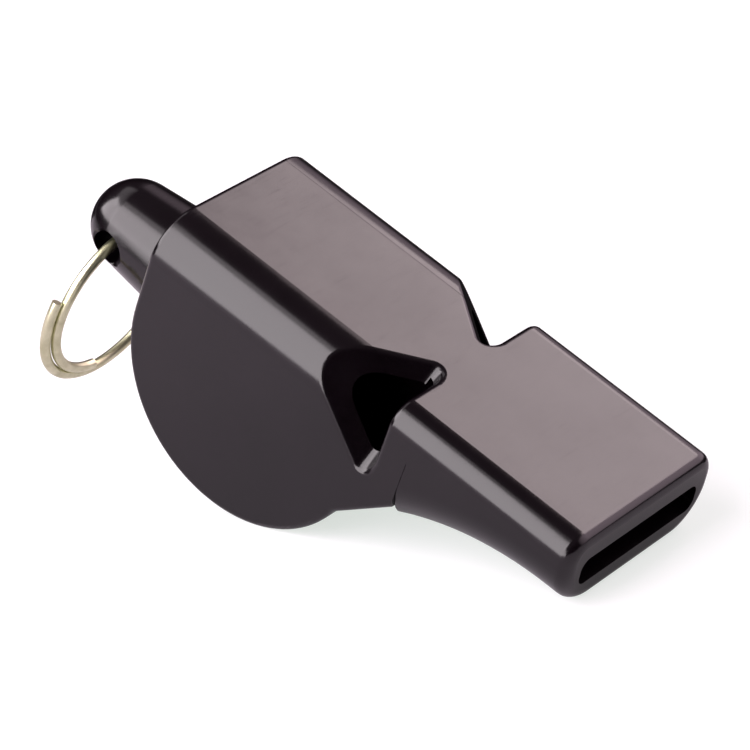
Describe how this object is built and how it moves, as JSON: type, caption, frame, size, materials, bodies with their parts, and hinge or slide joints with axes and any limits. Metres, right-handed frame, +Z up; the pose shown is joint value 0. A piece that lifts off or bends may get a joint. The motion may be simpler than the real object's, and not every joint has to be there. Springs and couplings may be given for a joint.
{
  "type": "sports whistle",
  "caption": "Pealess sports whistle lying nose down: flat-decked drum with slanted side windows, wide mouthpiece and a wire lanyard ring on a rear lug.",
  "frame": {"origin": "on the surface that the whistle lies on, under the middle of its bounding box", "axes": "+X towards the mouthpiece, +Y to the whistle's left, +Z up; it lies on its drum and the mouthpiece's lower lip, so the deck leans 26.1 degrees nose down"},
  "size_m": [0.061, 0.02, 0.0264],
  "materials": {
    "black_plastic": "polished moulded ABS, black",
    "brass_wire": "drawn wire, pale brass plating"
  },
  "bodies": {
    "whistle": {"whistle_body": "black_plastic", "left_side_cover": "black_plastic", "right_side_cover": "black_plastic"},
    "ring": {"lanyard_ring": "brass_wire"}
  },
  "joints": [
    {"name": "ring_swing", "type": "hinge", "parent": "whistle", "child": "ring", "pos_m": [-0.02316, 0, 0.01928], "axis": [0, 1, 0], "range_deg": [-55, 210]}
  ]
}
